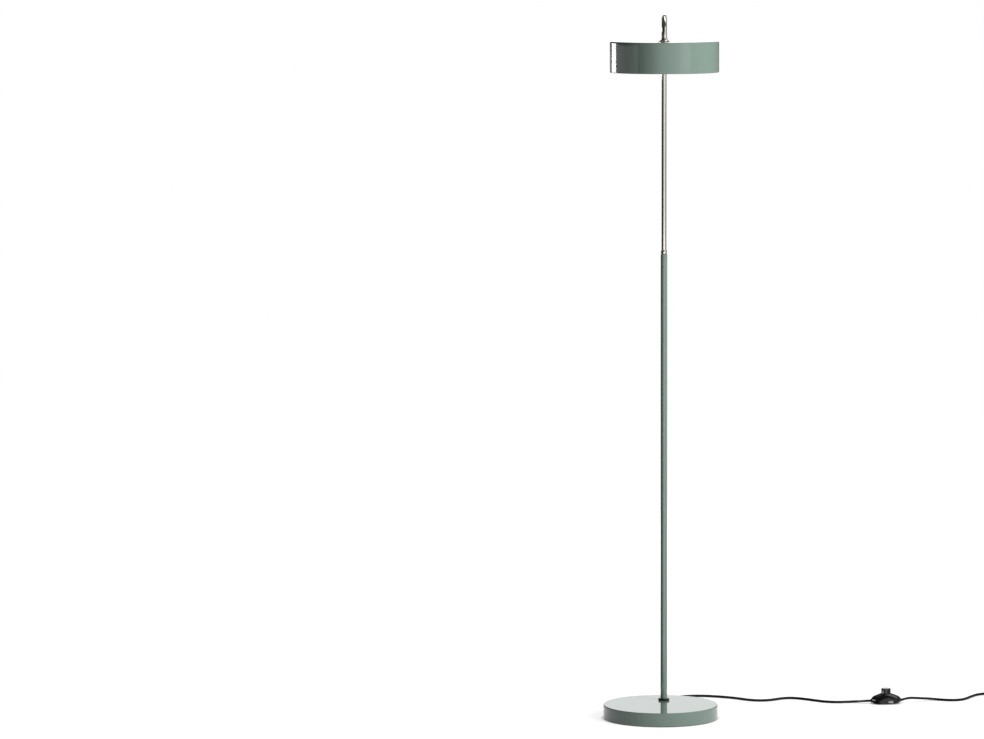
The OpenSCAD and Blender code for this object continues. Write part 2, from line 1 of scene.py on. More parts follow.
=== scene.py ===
# %% [markdown]
# # Adjustable arm floor lamp
# This lesson dresses a floor lamp: a heavy round base, a painted stem, a polished crook
# arm that slides and turns in it, a drum shade, and a black cord with a foot switch.
# The exact solids of the lamp are loaded first. Places and outer sizes are read from
# them, and small detail such as ribs and rounded edges is added here.

# %% Load the solids
import json
from math import atan2, cos, pi, radians, sin
from types import SimpleNamespace

import bpy
from mathutils import Matrix, Vector


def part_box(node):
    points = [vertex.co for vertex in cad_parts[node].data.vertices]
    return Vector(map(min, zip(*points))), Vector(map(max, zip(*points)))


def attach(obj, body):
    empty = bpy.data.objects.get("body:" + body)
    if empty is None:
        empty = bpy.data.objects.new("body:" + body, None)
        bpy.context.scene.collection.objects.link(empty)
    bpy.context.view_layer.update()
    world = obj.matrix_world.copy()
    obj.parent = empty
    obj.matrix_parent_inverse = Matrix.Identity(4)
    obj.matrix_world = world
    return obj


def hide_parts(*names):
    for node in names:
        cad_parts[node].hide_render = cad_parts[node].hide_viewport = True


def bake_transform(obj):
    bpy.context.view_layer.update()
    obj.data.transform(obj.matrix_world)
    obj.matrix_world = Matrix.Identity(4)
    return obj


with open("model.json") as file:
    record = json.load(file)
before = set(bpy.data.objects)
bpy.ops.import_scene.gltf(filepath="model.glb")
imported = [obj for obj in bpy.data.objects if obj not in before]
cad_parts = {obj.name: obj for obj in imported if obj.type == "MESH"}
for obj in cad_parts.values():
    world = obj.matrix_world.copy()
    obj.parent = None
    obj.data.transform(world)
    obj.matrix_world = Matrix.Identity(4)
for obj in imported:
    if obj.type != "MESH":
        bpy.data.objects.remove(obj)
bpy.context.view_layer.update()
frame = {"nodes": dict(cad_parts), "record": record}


# %% [markdown]
# A loaded solid stays selected, and most operators work on all that is selected. So
# small helpers clear the selection, name the newest piece, select one piece, or apply a
# modifier to it. Another reads a solid's box as a centre, a radius and two heights,
# which is all that a turned piece needs.

# %% Helpers: select a piece, apply a modifier, read a solid's place
def edit_mode():
    bpy.ops.object.mode_set(mode="EDIT")


def object_mode():
    bpy.ops.object.mode_set(mode="OBJECT")


def nothing_selected():
    if bpy.context.mode != "OBJECT":
        object_mode()
    bpy.ops.object.select_all(action="DESELECT")


def newest(name):
    """The piece that was just made, with its name."""
    bpy.context.object.name = name
    return bpy.context.object


def select_only(piece):
    nothing_selected()
    bpy.context.view_layer.objects.active = piece
    piece.select_set(True)


def apply_modifier(piece, modifier):
    select_only(piece)
    bpy.ops.object.modifier_apply(modifier=modifier.name)


def place_of(node):
    low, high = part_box(node)
    mid = (low + high) / 2
    return SimpleNamespace(
        x=mid.x, y=mid.y, r=(high.x - low.x) / 2, low=low.z, top=high.z,
        front=low.y, back=high.y, left=low.x, right=high.x, mid=mid)


stem = place_of("stem_tube")
shade = place_of("shade_drum")
base = place_of("base_cover")
print(f"base {2 * base.r:.4f} across, stem {2 * stem.r:.4f}, shade {2 * shade.r:.4f}")

# %% [markdown]
# ## The camera
# A long lens far away keeps the tall lamp free of perspective. It could be aimed with
# a Track To constraint, but a plain turn about each axis is exact and easy to read:
# pan, then tilt, then a trace of roll.

# %% Camera
nothing_selected()
bpy.ops.object.camera_add(location=(-0.0454, -9.8643, 1.65935))
camera = newest("studio_camera")
camera.data.sensor_width = 36.0
camera.data.lens = 177.44
camera.data.clip_end = 200.0
turn = (Matrix.Rotation(radians(1.737), 4, "Z")
        @ Matrix.Rotation(radians(84.5585), 4, "X")
        @ Matrix.Rotation(radians(-0.1658), 4, "Z"))
camera.rotation_euler = turn.to_euler()
bpy.context.scene.camera = camera
print("camera at", tuple(round(v, 3) for v in camera.location))

# %% [markdown]
# ## The cord
# A cord is a line with a thickness. It could be swept as a mesh, but a curve with a
# round bevel is quicker to shape, and it becomes a mesh at the end. The points say
# how far right and back of the gland each spot lies, and how high its underside is.
# The first cord runs from the base to the foot switch.

# %% Points of the two cords
cord_d = 0.005
gland_end = Vector((0.007, 0.1418, 0.0))
switch_at = gland_end + Vector((0.465, 0.046, 0.0))
switch_turn = radians(10)
switch_cord_z = 0.0065
switch_end, cord_end = 0.0325, 0.017


def laid(points):
    return [gland_end + Vector((x, y, z + 0.1)) / 1000 + Vector((0, 0, cord_d / 2))
            for x, y, z in points]


def in_switch(along):
    return switch_at + Vector((along * cos(switch_turn), along * sin(switch_turn),
                               switch_cord_z))


lamp_side = laid([
    (0, 0, 5.5), (0, 4, 5.5), (0, 14, 5), (0.5, 30, 3), (2, 47, 0.9), (5, 64, 0),
    (11, 80, 0), (20, 95, 0), (32, 108, 0), (46, 117, 0), (62, 122, 0), (78, 123, 0),
    (94, 121, 0), (110, 116, 0), (125, 110, 0), (140, 102, 0), (154, 93, 0),
    (167, 82, 0), (180, 72, 0), (195, 66, 0), (211, 66, 0), (226, 73, 0),
    (239, 84, 0), (252, 94, 0), (267, 98, 0), (282, 94, 0), (296, 85, 0),
    (309, 75, 0), (322, 64, 0), (335, 54, 0), (350, 48, 0), (366, 46, 0),
    (382, 49, 0), (397, 50.5, 0.4), (411, 47.5, 1.5), (423, 42.5, 3),
]) + [in_switch(-switch_end), in_switch(-cord_end)]
plug_side = [in_switch(cord_end), in_switch(switch_end)] + laid([
    (504, 55, 5.3), (515, 62, 6.2), (527, 67, 5.4), (540, 72.5, 4), (553, 79, 2.4),
    (567, 83, 0.8), (581, 80.5, 0), (595, 75.5, 0), (609, 74.5, 0), (621, 79, 0),
    (630, 88, 0), (638, 101, 0), (645, 116, 0), (653.5, 133, 0), (665, 149, 0.1),
    (683, 159, 0.3), (704, 162, 0.6)])
print(len(lamp_side), "points to the switch,", len(plug_side), "from it to the coil")

# %% [markdown]
# The second cord goes on to the plug. Its spare length lies in a flat coil: one layer
# winds in, climbs by a diameter and winds out again on top of itself, as a cord does
# when it is coiled by hand. A spiral formula gives the points, sixteen to a turn.

# %% The coil and the way to the plug
coil_at = gland_end + Vector((0.724, 0.125, 0.0006))
coil_out, coil_in, coil_turns = 0.037, 0.0214, 3.125
per_turn = 16
plug_axis_z = 0.007
steps = int(coil_turns * per_turn)
low_z, high_z = coil_at.z + cord_d / 2, coil_at.z + 1.5 * cord_d


def on_coil(angle, radius, z):
    return Vector((coil_at.x + radius * cos(angle), coil_at.y + radius * sin(angle), z))


coil = []
for i in range(2 * steps + 1):
    angle = pi / 2 - 2 * pi * i / per_turn
    part = abs(i - steps) / steps
    rise = min(max((i - steps + 3) / 6, 0.0), 1.0)
    rise = rise * rise * (3 - 2 * rise)
    coil.append(on_coil(angle, coil_in + (coil_out - coil_in) * part,
                        low_z + (high_z - low_z) * rise))
relief_start = Vector((coil_at.x + coil_out, coil_at.y - 0.039, plug_axis_z))
tail = [Vector((relief_start.x, coil_at.y - 0.0200, high_z)),
        Vector((relief_start.x, coil_at.y - 0.0295, (high_z + plug_axis_z) / 2)),
        Vector((relief_start.x, relief_start.y + 0.004, plug_axis_z)),
        relief_start, relief_start - Vector((0, 0.006, 0))]
plug_side += coil + tail


def line_length(points):
    return sum((b - a).length for a, b in zip(points, points[1:]))


print(f"lengths {line_length(lamp_side):.3f} and {line_length(plug_side):.3f}")


# %% Draw both cords as curves
def draw_cord(name, points):
    nothing_selected()
    bpy.ops.curve.primitive_bezier_curve_add()
    cord = newest(name)
    shape = cord.data
    shape.splines.clear()
    line = shape.splines.new("BEZIER")
    line.bezier_points.add(len(points) - 1)
    for knot, spot in zip(line.bezier_points, points):
        knot.co = spot
        knot.handle_left_type = knot.handle_right_type = "AUTO"
    line.resolution_u = 5
    shape.dimensions = "3D"
    shape.bevel_depth = cord_d / 2
    shape.bevel_resolution = 4
    shape.use_fill_caps = True
    bpy.ops.object.convert(target="MESH")
    bpy.ops.object.shade_smooth_by_angle(angle=radians(50))
    return bpy.context.object


lamp_cord = draw_cord("cord_to_switch", lamp_side)
plug_cord = draw_cord("cord_to_plug", plug_side)
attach(lamp_cord, "lamp_stand")
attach(plug_cord, "lamp_stand")
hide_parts("cord_lamp_side")
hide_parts("cord_plug_side", "cord_coil", "cord_tail")
print("two cords drawn")

# %% [markdown]
# ## The room
# A product is easiest to judge in an even, pale studio: a plain floor, a large soft
# lamp from the front right, and a weak one behind so that the back isn't black. The
# floor could simply be painted white, but then its far parts would go grey. Its
# shader is told to glow a little for the camera and for mirrors, and its matt part
# still takes the soft shadow of the lamps. Close to the base the glow is dimmed by
# ambient occlusion, which paints a contact shadow.

# %% Helpers for shader nodes
def new_node(tree, kind, **settings):
    """Each setting is an input, its spaces written as underscores, or an attribute."""
    node = tree.nodes.new(kind)
    for key, value in settings.items():
        plug_in = key.replace("_", " ")
        if plug_in in node.inputs:
            node.inputs[plug_in].default_value = value
        else:
            setattr(node, key, value)
    return node


def seen_rays(tree):
    """1 for a ray from the camera, a mirror or a pane of glass, and 0 for the rest."""
    join = tree.links.new
    path = new_node(tree, "ShaderNodeLightPath")
    either = new_node(tree, "ShaderNodeMath", operation="MAXIMUM")
    any_of = new_node(tree, "ShaderNodeMath", operation="MAXIMUM")
    join(path.outputs["Is Camera Ray"], either.inputs[0])
    join(path.outputs["Is Glossy Ray"], either.inputs[1])
    join(either.outputs[0], any_of.inputs[0])
    join(path.outputs["Is Transmission Ray"], any_of.inputs[1])
    return path, any_of.outputs[0]


# %% Floor
mirror_reach = 0.36  # past this distance, mirrors look through the floor
nothing_selected()
bpy.ops.mesh.primitive_circle_add(vertices=96, radius=6.0, fill_type="NGON")
floor = newest("studio_floor")
floor_paint = bpy.data.materials.new("floor_paint")
floor_paint.use_nodes = True
tree = floor_paint.node_tree
join = tree.links.new
tree.nodes.clear()
matt = new_node(tree, "ShaderNodeBsdfDiffuse", Color=(0.5, 0.5, 0.5, 1))
glow = new_node(tree, "ShaderNodeEmission", Color=(1, 1, 1, 1))
spot = new_node(tree, "ShaderNodeTexCoord")
reach = new_node(tree, "ShaderNodeVectorMath", operation="LENGTH")
fade = new_node(tree, "ShaderNodeMapRange", From_Min=0.3, From_Max=2.5, To_Min=0.80, To_Max=1.0)
# Ambient occlusion dims the floor's glow close to the base: a painted contact shadow.
painted_contact_shadow = new_node(tree, "ShaderNodeAmbientOcclusion", Distance=0.008, samples=8)
shaded = new_node(tree, "ShaderNodeMath", operation="MULTIPLY")
both = new_node(tree, "ShaderNodeAddShader")
pick = new_node(tree, "ShaderNodeMixShader")
out = new_node(tree, "ShaderNodeOutputMaterial")
path, seen = seen_rays(tree)
far = new_node(tree, "ShaderNodeMath", operation="GREATER_THAN")
far.inputs[1].default_value = mirror_reach
gone = new_node(tree, "ShaderNodeMath", operation="MULTIPLY")
clear = new_node(tree, "ShaderNodeBsdfTransparent")
open_floor = new_node(tree, "ShaderNodeMixShader")
join(spot.outputs["Object"], reach.inputs[0])
join(reach.outputs["Value"], far.inputs[0])
join(far.outputs[0], gone.inputs[0])
join(path.outputs["Is Glossy Ray"], gone.inputs[1])
join(gone.outputs[0], open_floor.inputs[0])
join(pick.outputs[0], open_floor.inputs[1])
join(clear.outputs[0], open_floor.inputs[2])
join(reach.outputs["Value"], fade.inputs["Value"])
join(fade.outputs[0], shaded.inputs[0])
join(painted_contact_shadow.outputs["AO"], shaded.inputs[1])
join(shaded.outputs[0], glow.inputs["Strength"])
join(matt.outputs[0], both.inputs[0])
join(glow.outputs[0], both.inputs[1])
join(seen, pick.inputs[0])
join(matt.outputs[0], pick.inputs[1])
join(both.outputs[0], pick.inputs[2])
join(open_floor.outputs[0], out.inputs["Surface"])
floor.data.materials.append(floor_paint)
print("floor ready")

# %% [markdown]
# Polished metal only looks like metal when it has something dark to mirror. In a real
# studio, black cards stand beside the white walls. Here the world does the same: for
# mirror rays its brightness changes with the compass direction, and everything else
# sees a plain white wall or a soft even light.

# %% World
def ramp(tree, stops):
    """A colour ramp with one stop for each (place from 0 to 1, brightness) pair."""
    node = new_node(tree, "ShaderNodeValToRGB")
    elements = node.color_ramp.elements
    elements.remove(elements[1])
    elements[0].position = stops[0][0]
    elements[0].color = [stops[0][1]] * 3 + [1]
    for place, level in stops[1:]:
        elements.new(place).color = [level] * 3 + [1]
    return node


world = bpy.data.worlds.new("studio_world")
bpy.context.scene.world = world
world.use_nodes = True
tree = world.node_tree
join = tree.links.new
tree.nodes.clear()
where = new_node(tree, "ShaderNodeTexCoord")
split = new_node(tree, "ShaderNodeSeparateXYZ")
join(where.outputs["Generated"], split.inputs[0])
forward = new_node(tree, "ShaderNodeMath", operation="MULTIPLY")
forward.inputs[1].default_value = -1.0
compass = new_node(tree, "ShaderNodeMath", operation="ARCTAN2")
scaled = new_node(tree, "ShaderNodeMapRange", From_Min=-pi, From_Max=pi)
join(split.outputs["Y"], forward.inputs[0])
join(split.outputs["X"], compass.inputs[0])
join(forward.outputs[0], compass.inputs[1])
join(compass.outputs[0], scaled.inputs["Value"])
# A band of wall: from which height it starts (as a sine), over how much it blends in,
# and its brightness round the compass in degrees, 0 towards the camera, right positive
low_wall = [(-180, 0.05), (-30, 0.05), (-10, 0.95), (34, 1.1), (42, 0.42), (150, 0.42),
            (180, 0.3)]
bands = [
    (-1.0, 0.01, low_wall),
    (-0.158, 0.004, [(-180, 0.05), (-34, 0.05), (-22, 2.3), (30, 2.4), (40, 0.6), (150, 0.5),
                     (180, 0.3)]),
    (-0.074, 0.004, low_wall),
    (-0.044, 0.008, [(-180, 0.4), (-144, 0.4), (-130, 0.08), (-28, 0.08), (-6, 0.9),
                     (30, 0.9), (36, 1.5), (54, 1.5), (60, 0.5), (100, 0.5), (120, 0.3),
                     (180, 0.1)]),
    (-0.03, 0.004, [(-180, 0.03), (-28, 0.05), (-6, 0.9), (30, 0.9), (36, 1.5), (54, 1.5),
                    (60, 0.5), (100, 0.5), (120, 0.3), (150, 0.1), (180, 0.03)]),
    (-0.01, 0.02, [(-180, 1.4), (-168, 1.4), (-160, 0.05), (-8, 0.05), (6, 0.9), (60, 0.9),
                   (72, 0.4), (150, 0.4), (160, 0.1), (168, 1.4), (180, 1.4)]),
    (0.185, 0.05, [(-180, 0.03), (10, 0.03), (20, 1.0), (70, 1.0), (80, 0.25), (150, 0.25),
                   (180, 0.05)]),
    (0.64, 0.04, [(-180, 1.6), (-168, 1.6), (-160, 0.05), (85, 0.1), (95, 1.6), (180, 1.6)]),
]
bright = 2.5
mix = None
for height, blend, cards in bands:
    wall = ramp(tree, [((angle + 180) / 360, level / bright) for angle, level in cards])
    join(scaled.outputs[0], wall.inputs[0])
    if mix is None:
        mix = wall
        continue
    rise = new_node(tree, "ShaderNodeMapRange", From_Min=height, From_Max=height + blend)
    join(split.outputs["Z"], rise.inputs["Value"])
    higher = new_node(tree, "ShaderNodeMixRGB")
    join(rise.outputs[0], higher.inputs["Fac"])
    join(mix.outputs[0], higher.inputs["Color1"])
    join(wall.outputs[0], higher.inputs["Color2"])
    mix = higher
mirrored = new_node(tree, "ShaderNodeBackground", Strength=bright)
join(mix.outputs[0], mirrored.inputs["Color"])
plain = new_node(tree, "ShaderNodeBackground", Color=(1, 1, 1, 1), Strength=1.0)
soft = new_node(tree, "ShaderNodeBackground", Color=(1, 1, 1, 1), Strength=0.10)
path, seen = seen_rays(tree)
to_camera = new_node(tree, "ShaderNodeMixShader")
to_all = new_node(tree, "ShaderNodeMixShader")
out = new_node(tree, "ShaderNodeOutputWorld")
join(path.outputs["Is Camera Ray"], to_camera.inputs[0])
join(mirrored.outputs[0], to_camera.inputs[1])
join(plain.outputs[0], to_camera.inputs[2])
join(seen, to_all.inputs[0])
join(soft.outputs[0], to_all.inputs[1])
join(to_camera.outputs[0], to_all.inputs[2])
join(to_all.outputs[0], out.inputs["Surface"])
print(len(bands), "bands of wall")


# %% Cards that only mirrors can see
def glow_card(name, place, turn, width, tall, glow):
    nothing_selected()
    bpy.ops.mesh.primitive_plane_add(size=1, location=place, rotation=turn)
    card = newest(name)
    card.scale = (width, tall, 1)
    paint = bpy.data.materials.new(name)
    paint.use_nodes = True
    tree = paint.node_tree
    tree.nodes.clear()
    light = new_node(tree, "ShaderNodeEmission", Color=(1, 1, 1, 1), Strength=glow)
    out = new_node(tree, "ShaderNodeOutputMaterial")
    tree.links.new(light.outputs[0], out.inputs["Surface"])
    card.data.materials.append(paint)
    card.visible_camera = card.visible_diffuse = card.visible_shadow = False


def shade_card(name, start, end, reach, low, high, glow):
    """Stands where the shade mirrors it between two angles round its wall, in degrees."""
    ends = []
    for angle in (radians(start), radians(end)):
        skin = Vector((shade.x + shade.r * sin(angle), shade.y - shade.r * cos(angle), 0))
        ends.append(skin + reach * Vector((sin(2 * angle), -cos(2 * angle), 0)))
    middle, side = (ends[0] + ends[1]) / 2, ends[1] - ends[0]
    glow_card(name, (middle.x, middle.y, (low + high) / 2),
              (pi / 2, 0, atan2(side.y, side.x)), side.length, high - low, glow)


shade_card("strip_light", -73.5, -62.3, 1.0, shade.low - 0.042, shade.top - 0.030, 9.0)
shade_card("grey_card", -61.5, -29, 1.0, shade.low - 0.042, shade.top - 0.030, 0.8)
glow_card("switch_card_right", switch_at + Vector((0.018, -0.039, 0.0006)),
          (0, 0, radians(20)), 0.010, 0.046, 7.5)
glow_card("switch_card_left", switch_at + Vector((-0.058, -0.013, 0.0095)),
          (pi / 2, 0, radians(90)), 0.036, 0.018, 5.5)


# %% Lamps
def studio_lamp(name, bearing, distance, height, aim, width, tall, watts, in_mirrors):
    nothing_selected()
    spot = Vector((distance * sin(radians(bearing)), -distance * cos(radians(bearing)),
                   height))
    bpy.ops.object.light_add(type="AREA", location=spot)
    lamp = newest(name)
    lamp.data.shape = "RECTANGLE"
    lamp.data.size, lamp.data.size_y = width, tall
    lamp.data.energy = watts
    lamp.rotation_euler = (Vector(aim) - spot).to_track_quat("-Z", "Y").to_euler()
    lamp.visible_camera = False
    lamp.visible_glossy = in_mirrors
    return lamp


studio_lamp("key_lamp", 52, 3.2, 2.2, (0, 0, 0.8), 1.6, 2.4, 100, False)
studio_lamp("back_lamp", 172, 3.0, 1.8, (0, 0, 0.8), 1.6, 2.0, 30, False)
bpy.context.scene.view_settings.view_transform = "Standard"
print("two soft lamps")

# %% [markdown]
# ## The finishes
# A bare colour looks like a computer drawing. Real paint has the faint waves of a
# sprayed coat, polished tube has fine drawn lines along its length, and a cord's sheath
# is slightly uneven. One helper builds them all: a noise pattern tints the colour a
# little, changes the gloss a little and lifts the surface by a few thousandths of a
# millimetre. It reads Object coordinates, so nothing has to be unwrapped.

# %% One helper for every finish
def make_finish(name, colour, rough, metal=0.0, tint=0.05, gloss=0.15, size=900.0,
                lift=2e-6, stretch=(1, 1, 1), detail=3.0, **fixed):
    """colour is as a screen shows it; size is how many waves the noise has in a metre."""
    mat = bpy.data.materials.new(name)
    mat.use_nodes = True
    tree = mat.node_tree
    shader = tree.nodes["Principled BSDF"]
    shader.inputs["Metallic"].default_value = metal
    for key, value in fixed.items():
        shader.inputs[key.replace("_", " ")].default_value = value
    spot = new_node(tree, "ShaderNodeTexCoord")
    turned_to = new_node(tree, "ShaderNodeMapping", Scale=stretch)
    noise = new_node(tree, "ShaderNodeTexNoise", Scale=size, Detail=detail)
    ramp = new_node(tree, "ShaderNodeValToRGB")
    level = [c / 12.92 if c <= 0.04045 else ((c + 0.055) / 1.055) ** 2.4 for c in colour]
    for stop, part, at in zip(ramp.color_ramp.elements, (1 - tint, 1 + tint), (0.3, 0.7)):
        stop.position = at
        stop.color = [min(v * part, 1) for v in level] + [1]
    shine = new_node(tree, "ShaderNodeMapRange", To_Min=rough * (1 - gloss),
                     To_Max=rough * (1 + gloss))
    bump = new_node(tree, "ShaderNodeBump", Strength=1.0, Distance=lift)
    join = tree.links.new
    join(spot.outputs["Object"], turned_to.inputs["Vector"])
    join(turned_to.outputs[0], noise.inputs["Vector"])
    join(noise.outputs[0], ramp.inputs[0])
    join(ramp.outputs[0], shader.inputs["Base Color"])
    join(noise.outputs[0], shine.inputs["Value"])
    join(shine.outputs[0], shader.inputs["Roughness"])
    join(noise.outputs[0], bump.inputs["Height"])
    join(bump.outputs[0], shader.inputs["Normal"])
    return mat


# %% [markdown]
# The lamp has a dozen finishes. The sage green paint gets a clear coat, which gives it
# the wet mirror edge of gloss enamel. The metals differ mainly in their tint, and in
# the way that their lines run: along the tubes, and in rings on turned parts.

# %% All the finishes
finishes = {
    "green_paint": make_finish(
        "sage_enamel", (0.557, 0.643, 0.600), 0.42, tint=0.02, size=420, lift=4e-7,
        Specular_IOR_Level=0.0, Coat_Weight=1.0, Coat_Roughness=0.03),
    "polished_nickel": make_finish(
        "polished_nickel", (0.86, 0.845, 0.81), 0.07, metal=1.0, tint=0.03, gloss=0.08,
        size=1600, lift=5e-8, stretch=(1, 1, 0.02)),
    "dark_collar": make_finish(
        "black_collar", (0.13, 0.135, 0.13), 0.22, tint=0.08, size=1600, lift=1e-6,
        Specular_IOR_Level=0.4),
    "iron": make_finish(
        "cast_iron", (0.27, 0.27, 0.28), 0.62, metal=0.6, tint=0.25, gloss=0.25,
        size=700, lift=9e-5, detail=6),
    "pad_foam": make_finish(
        "dense_foam", (0.12, 0.12, 0.12), 0.9, tint=0.35, size=2200, lift=1.2e-4),
    "zinc_steel": make_finish(
        "zinc_plate", (0.74, 0.75, 0.77), 0.30, metal=1.0, tint=0.10, gloss=0.3,
        size=500, lift=3e-6, detail=5),
    "brass": make_finish(
        "turned_brass", (0.80, 0.66, 0.36), 0.24, metal=1.0, tint=0.08, size=2500,
        lift=2e-6, stretch=(0.04, 0.04, 1)),
    "cord_black": make_finish(
        "cord_sheath", (0.055, 0.055, 0.06), 0.45, tint=0.18, size=1500, lift=1.2e-5,
        Specular_IOR_Level=0.3),
    "black_plastic": make_finish(
        "black_plastic", (0.060, 0.058, 0.060), 0.16, tint=0.12, gloss=0.25, size=1200,
        lift=2e-6),
    "nylon": make_finish(
        "natural_nylon", (0.90, 0.885, 0.83), 0.40, tint=0.03, size=600, lift=6e-6,
        Subsurface_Weight=0.15),
    "white_plastic": make_finish(
        "white_plastic", (0.90, 0.90, 0.885), 0.28, tint=0.02, size=900, lift=3e-6),
    "opal": make_finish(
        "opal_diffuser", (0.95, 0.945, 0.92), 0.22, tint=0.015, size=700, lift=2e-6,
        Subsurface_Weight=0.35, Coat_Weight=0.3),
}
white_lining = make_finish(
    "white_lining", (0.93, 0.93, 0.915), 0.45, tint=0.02, size=800, lift=5e-6)
for piece in (lamp_cord, plug_cord):
    piece.data.materials.append(finishes["cord_black"])
print(len(finishes) + 1, "finishes")

# %% [markdown]
# Some solids are hidden inside the lamp: the iron weight, the nuts, the nipples. Their
# shapes are right as they are, so they only get their finish. The pieces made below
# replace the others.

# %% Finish the solids that stay
slot_of = {part["node"]: part["material_slot"] for part in frame["record"]["subparts"]}
for node, solid in frame["nodes"].items():
    solid.data.materials.clear()
    solid.data.materials.append(finishes[slot_of[node]])
print(len(slot_of), "solids have a finish")

# %% [markdown]
# ## Turned pieces
# Most of this lamp is turned on a lathe or spun from sheet: the base, the shade, the
# collars, the beads. The quickest way to model such a piece is the way that it is made:
# draw half of its outline beside the axis, then spin it round. A primitive cylinder with
# bevels would also do for the plain ones, but an outline holds every lip and groove.

# %% Draw an outline and spin it
flat_ring = 0.0008  # how far inside a rolled edge the flat top ends
AXES = {"Z": ((1, 0, 0), (0, 0, 1)), "Y": ((1, 0, 0), (0, 1, 0)), "X": ((0, 0, 1), (1, 0, 0))}


def draw_line(name, spots):
    nothing_selected()
    bpy.ops.mesh.primitive_plane_add(size=0.002)
    piece = newest(name)
    edit_mode()
    bpy.ops.mesh.select_mode(type="VERT")
    bpy.ops.mesh.select_all(action="SELECT")
    bpy.ops.mesh.merge(type="CENTER")
    bpy.ops.transform.translate(value=spots[0])
    for here, there in zip(spots, spots[1:]):
        bpy.ops.mesh.extrude_vertices_move(TRANSFORM_OT_translate={"value": there - here})
    return piece


def tidy_mesh(piece, smooth=40):
    """Merges doubles, turns the faces outwards and shades the round parts smooth."""
    if bpy.context.mode != "EDIT_MESH":
        edit_mode()
    bpy.ops.mesh.select_all(action="SELECT")
    bpy.ops.mesh.remove_doubles(threshold=2e-6)
    bpy.ops.mesh.normals_make_consistent(inside=False)
    object_mode()
    bpy.ops.object.shade_smooth_by_angle(angle=radians(smooth))
    return piece


def turned(name, outline, origin, axis="Z", closed=False, steps=96, smooth=40):
    """outline is (radius, place along the axis) in metres, from one end to the other."""
    out, along = (Vector(v) for v in AXES[axis])
    origin = Vector(origin)
    spots = [origin + out * r + along * h for r, h in outline]
    if closed:
        spots.append(spots[0])
    piece = draw_line(name, spots)
    bpy.ops.mesh.select_all(action="SELECT")
    bpy.ops.mesh.spin(steps=steps, angle=2 * pi, center=origin, axis=along)
    return tidy_mesh(piece, smooth)


def arc(r, h, radius, start, end, parts=6):
    """Points of a rounded corner, its centre at r and h, from one angle to the other."""
    return [(r + radius * cos(radians(a)), h + radius * sin(radians(a)))
            for a in (start + (end - start) * i / parts for i in range(parts + 1))]


def soften(piece, width, segments=2, angle=35):
    """Rounds the sharp edges that an outline leaves, so that they catch the light."""
    bevel = piece.modifiers.new("soft_edges", "BEVEL")
    bevel.width, bevel.segments = width, segments
    bevel.limit_method, bevel.angle_limit = "ANGLE", radians(angle)
    apply_modifier(piece, bevel)
    bpy.ops.object.shade_smooth_by_angle(angle=radians(angle))


def fit_to(piece, body, slot, *nodes, finish=None):
    """Gives a finished piece its finish and its body, and hides the solids it stands for."""
    if not piece.data.materials:
        piece.data.materials.append(finish or finishes[slot])
    even = piece.modifiers.new("even_normals", "WEIGHTED_NORMAL")
    even.keep_sharp = True
    apply_modifier(piece, even)
    if body:
        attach(piece, body)
    if nodes:
        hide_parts(*nodes)
    print(f"{piece.name}: {len(piece.data.polygons)} faces")


# %% [markdown]
# A long face next to a narrow bevel is shaded as if it were bent, which spoils the
# reflections in a tube. Weighted normals let the large faces decide, so each piece gets
# them at the end. Two more jobs come up often. A hole is cut by a Boolean with a
# cylinder, as with a drill. And where one piece has two finishes, its faces are picked
# by their place.

# %% Drill a hole, and give some faces another finish
def drill(piece, at, radius, depth, axis="Z", sides=48):
    nothing_selected()
    bpy.ops.mesh.primitive_cylinder_add(vertices=sides, radius=radius, depth=depth, location=at)
    bit = bpy.context.object
    if axis == "Y":
        bit.rotation_euler = (pi / 2, 0, 0)
    cut = piece.modifiers.new("hole", "BOOLEAN")
    cut.operation, cut.object, cut.solver = "DIFFERENCE", bit, "EXACT"
    apply_modifier(piece, cut)
    bpy.data.objects.remove(bit)


def repaint(piece, finish, here):
    """Gives finish to the faces whose centre and normal make here(centre, normal) true."""
    piece.data.materials.append(finish)
    for face in piece.data.polygons:
        if here(face.center, face.normal):
            face.material_index = len(piece.data.materials) - 1


print("tools ready")

# %% [markdown]
# ## The base
# The base's cover is a shallow steel cap over an iron weight. Its top is dead flat and
# its upper edge is rolled. Two details matter: a ring of points just inside the rolled
# edge keeps the smooth shading off the flat top, and the wall has a real thickness,
# because its lower rim can be seen over the shadow gap.

# %% Base cover
roll = 0.0015
wall = 0.0015
outline = ([(0, base.top), (base.r - roll - flat_ring, base.top)]
           + arc(base.r - roll, base.top - roll, roll, 90, 0, 7)
           + [(base.r, base.low + 0.0003), (base.r - 0.0003, base.low),
              (base.r - wall + 0.0002, base.low), (base.r - wall, base.low + 0.0002),
              (base.r - wall, base.top - wall), (0, base.top - wall)])
base_cap = turned("base_cap", outline, (base.x, base.y, 0), steps=160)
drill(base_cap, (stem.x, stem.y, base.top), 0.0043, 0.01)
drill(base_cap, (stem.x, base.r - 0.004, 0.008), 0.0045, 0.012, axis="Y")
fit_to(base_cap, "lamp_stand", "green_paint", "base_cover")

# %% [markdown]
# The cord leaves the base through a moulded gland with a long soft boot. Grooves let
# the boot bend evenly, so the outline steps in and out as it narrows.

